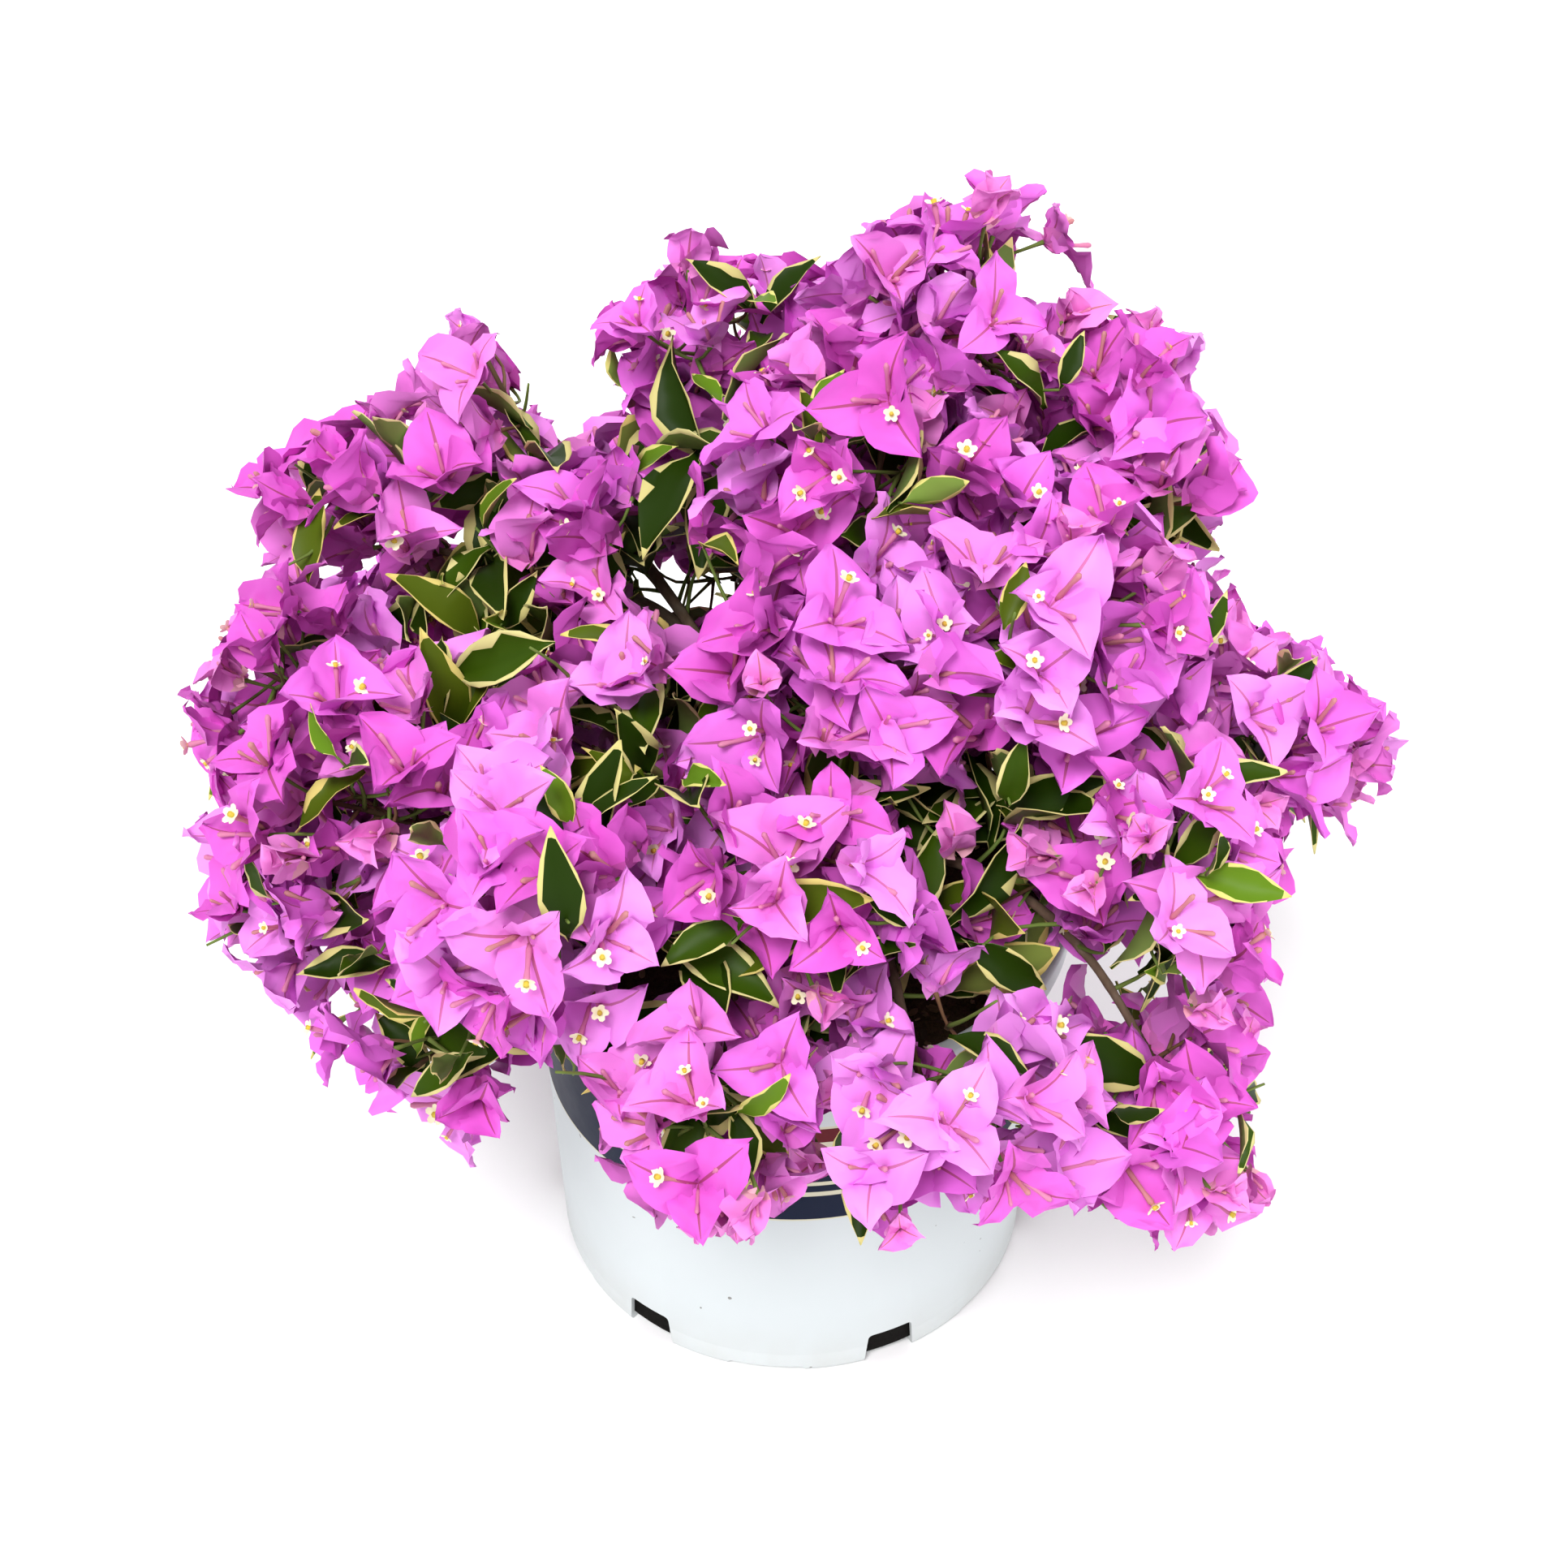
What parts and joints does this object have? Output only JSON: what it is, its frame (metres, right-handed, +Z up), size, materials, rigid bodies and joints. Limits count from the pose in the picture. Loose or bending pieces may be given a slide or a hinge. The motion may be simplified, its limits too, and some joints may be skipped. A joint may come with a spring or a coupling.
{
  "type": "potted bougainvillea",
  "caption": "Low, spreading bougainvillea bush in full pink-purple bloom, with cream-edged leaves, growing in a round white plastic nursery pot.",
  "frame": {"origin": "centre of the pot's flat underside, on the ground", "axes": "+Z up; -Y towards the plant's front; +X to the right seen from the front"},
  "size_m": [0.5703, 0.5634, 0.5373],
  "materials": {
    "pot": "smooth white moulded plastic with a soft sheen",
    "soil": "moist dark potting mix, rough",
    "bark": "grey-brown bark, finely furrowed",
    "bloom": "papery pink-purple bracts with dark green cream-edged leaves"
  },
  "bodies": {
    "root": {"pot": "pot", "soil": "soil", "trunk": "bark", "bough_upper_middle": "bark", "bough_crown_top": "bark", "bough_back_crown": "bark", "bough_right_middle": "bark", "bough_right_shoulder": "bark", "bough_right": "bark", "bough_far_right": "bark", "bough_right_hanging": "bark", "bough_front_right": "bark", "bough_front_middle": "bark", "bough_centre_front": "bark", "bough_centre": "bark", "bough_centre_left": "bark", "bough_front_left": "bark", "bough_left_front": "bark", "bough_left_low": "bark", "bough_left_hanging": "bark", "bough_left_middle": "bark", "bough_inner_left": "bark", "bough_left_back": "bark", "bough_left_tall": "bark", "bough_back_left": "bark", "bough_back_middle": "bark", "bough_back_right": "bark", "bough_back_far_right": "bark", "bough_back_low_left": "bark", "bough_back_low": "bark", "bough_back_low_right": "bark", "mass_upper_middle": "bloom", "mass_crown_top": "bloom", "mass_back_crown": "bloom", "mass_right_middle": "bloom", "mass_right_shoulder": "bloom", "mass_right": "bloom", "mass_far_right": "bloom", "mass_right_hanging": "bloom", "mass_front_right": "bloom", "mass_front_middle": "bloom", "mass_centre_front": "bloom", "mass_centre": "bloom", "mass_centre_left": "bloom", "mass_front_left": "bloom", "mass_left_front": "bloom", "mass_left_low": "bloom", "mass_left_hanging": "bloom", "mass_left_middle": "bloom", "mass_inner_left": "bloom", "mass_left_back": "bloom", "mass_left_tall": "bloom", "mass_back_left": "bloom", "mass_back_middle": "bloom", "mass_back_right": "bloom", "mass_back_far_right": "bloom", "mass_back_low_left": "bloom", "mass_back_low": "bloom", "mass_back_low_right": "bloom"}
  },
  "joints": []
}
